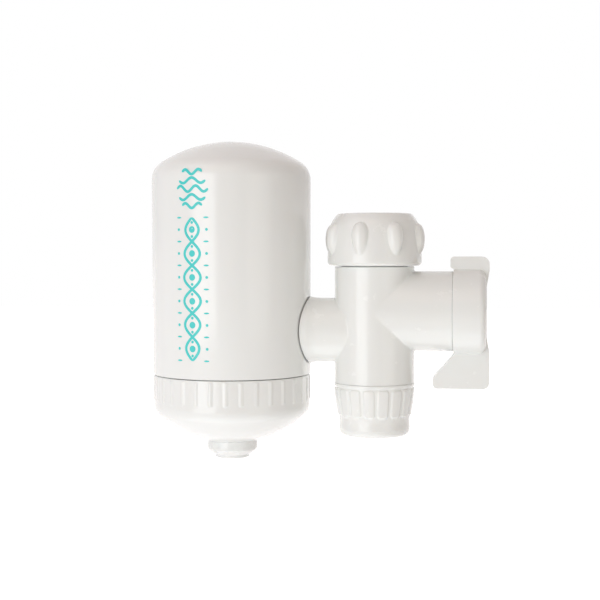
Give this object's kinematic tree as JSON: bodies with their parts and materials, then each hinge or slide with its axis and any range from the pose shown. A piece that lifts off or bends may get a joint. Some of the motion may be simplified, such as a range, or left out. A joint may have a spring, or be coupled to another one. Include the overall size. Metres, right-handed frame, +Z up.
{
  "type": "faucet mount water filter",
  "caption": "Tap-mounted water filter: a domed canister with a fluted screw cap and spout, joined by a pipe to a valve with a lobed inlet nut, a lever knob and a spray outlet.",
  "frame": {"origin": "on the inlet axis at the top face of the inlet washer, where the end of the tap seats", "axes": "+Z up the inlet axis towards the tap, +X along the barrel towards the knob, -X towards the canister, -Y the side that the lever turns to"},
  "size_m": [0.1308, 0.062, 0.1231],
  "materials": {
    "shell_white": "smooth glossy moulding",
    "valve_white": "smooth glossy moulding",
    "knob_white": "smooth glossy moulding",
    "nozzle_white": "smooth moulding",
    "inner_white": "plain moulding",
    "seal_rubber": "matt",
    "steel": "bright",
    "plated_brass": "turned",
    "ceramic": "unglazed ceramic",
    "carbon": "granular",
    "felt": "felted"
  },
  "bodies": {
    "housing": {"valve_body": "valve_white", "canister_shell": "shell_white", "inlet_washer": "seal_rubber", "inlet_strainer": "steel", "nut_clip": "steel", "barrel_gland": "inner_white", "pipe_gasket": "seal_rubber", "pipe_nut": "inner_white"},
    "coupling_nut": {"inlet_nut": "valve_white", "thread_insert": "plated_brass"},
    "switch": {"switch_knob": "knob_white", "valve_spool": "inner_white", "spool_seal_inner": "seal_rubber", "spool_seal_outer": "seal_rubber", "knob_screw": "steel", "knob_cover": "knob_white"},
    "cartridge": {"ceramic_candle": "ceramic", "candle_base": "inner_white", "candle_gasket": "seal_rubber", "carbon_core": "carbon", "felt_disc": "felt"},
    "cap": {"bottom_cap": "shell_white", "cap_seal": "seal_rubber", "outlet_nozzle": "nozzle_white"},
    "spray": {"spray_plate": "nozzle_white", "outlet_gasket": "seal_rubber"},
    "ring": {"outlet_ring": "valve_white"}
  },
  "joints": [
    {"name": "nut_spin", "type": "hinge", "parent": "housing", "child": "coupling_nut", "pos_m": [0, 0, 0], "axis": [0, 0, 1], "continuous": true},
    {"name": "switch_turn", "type": "hinge", "parent": "housing", "child": "switch", "pos_m": [0, 0, -0.027], "axis": [-1, 0, 0], "range_deg": [0, 90]},
    {"name": "cartridge_drop", "type": "slide", "parent": "housing", "child": "cartridge", "axis": [0, 0, -1], "range_m": [0, 0.006]},
    {"name": "cap_turn", "type": "hinge", "parent": "cartridge", "child": "cap", "pos_m": [-0.056, 0, -0.0519], "axis": [0, 0, -1], "range_deg": [0, 720]},
    {"name": "spray_drop", "type": "slide", "parent": "housing", "child": "spray", "axis": [0, 0, -1], "range_m": [0, 0.003]},
    {"name": "ring_turn", "type": "hinge", "parent": "spray", "child": "ring", "pos_m": [0, 0, -0.0548], "axis": [0, 0, -1], "range_deg": [0, 720]}
  ],
  "couplings": [
    {"joint": "cap_turn", "follows": "cartridge_drop", "rad_per_m": 2094.4},
    {"joint": "ring_turn", "follows": "spray_drop", "rad_per_m": 4188.8}
  ]
}
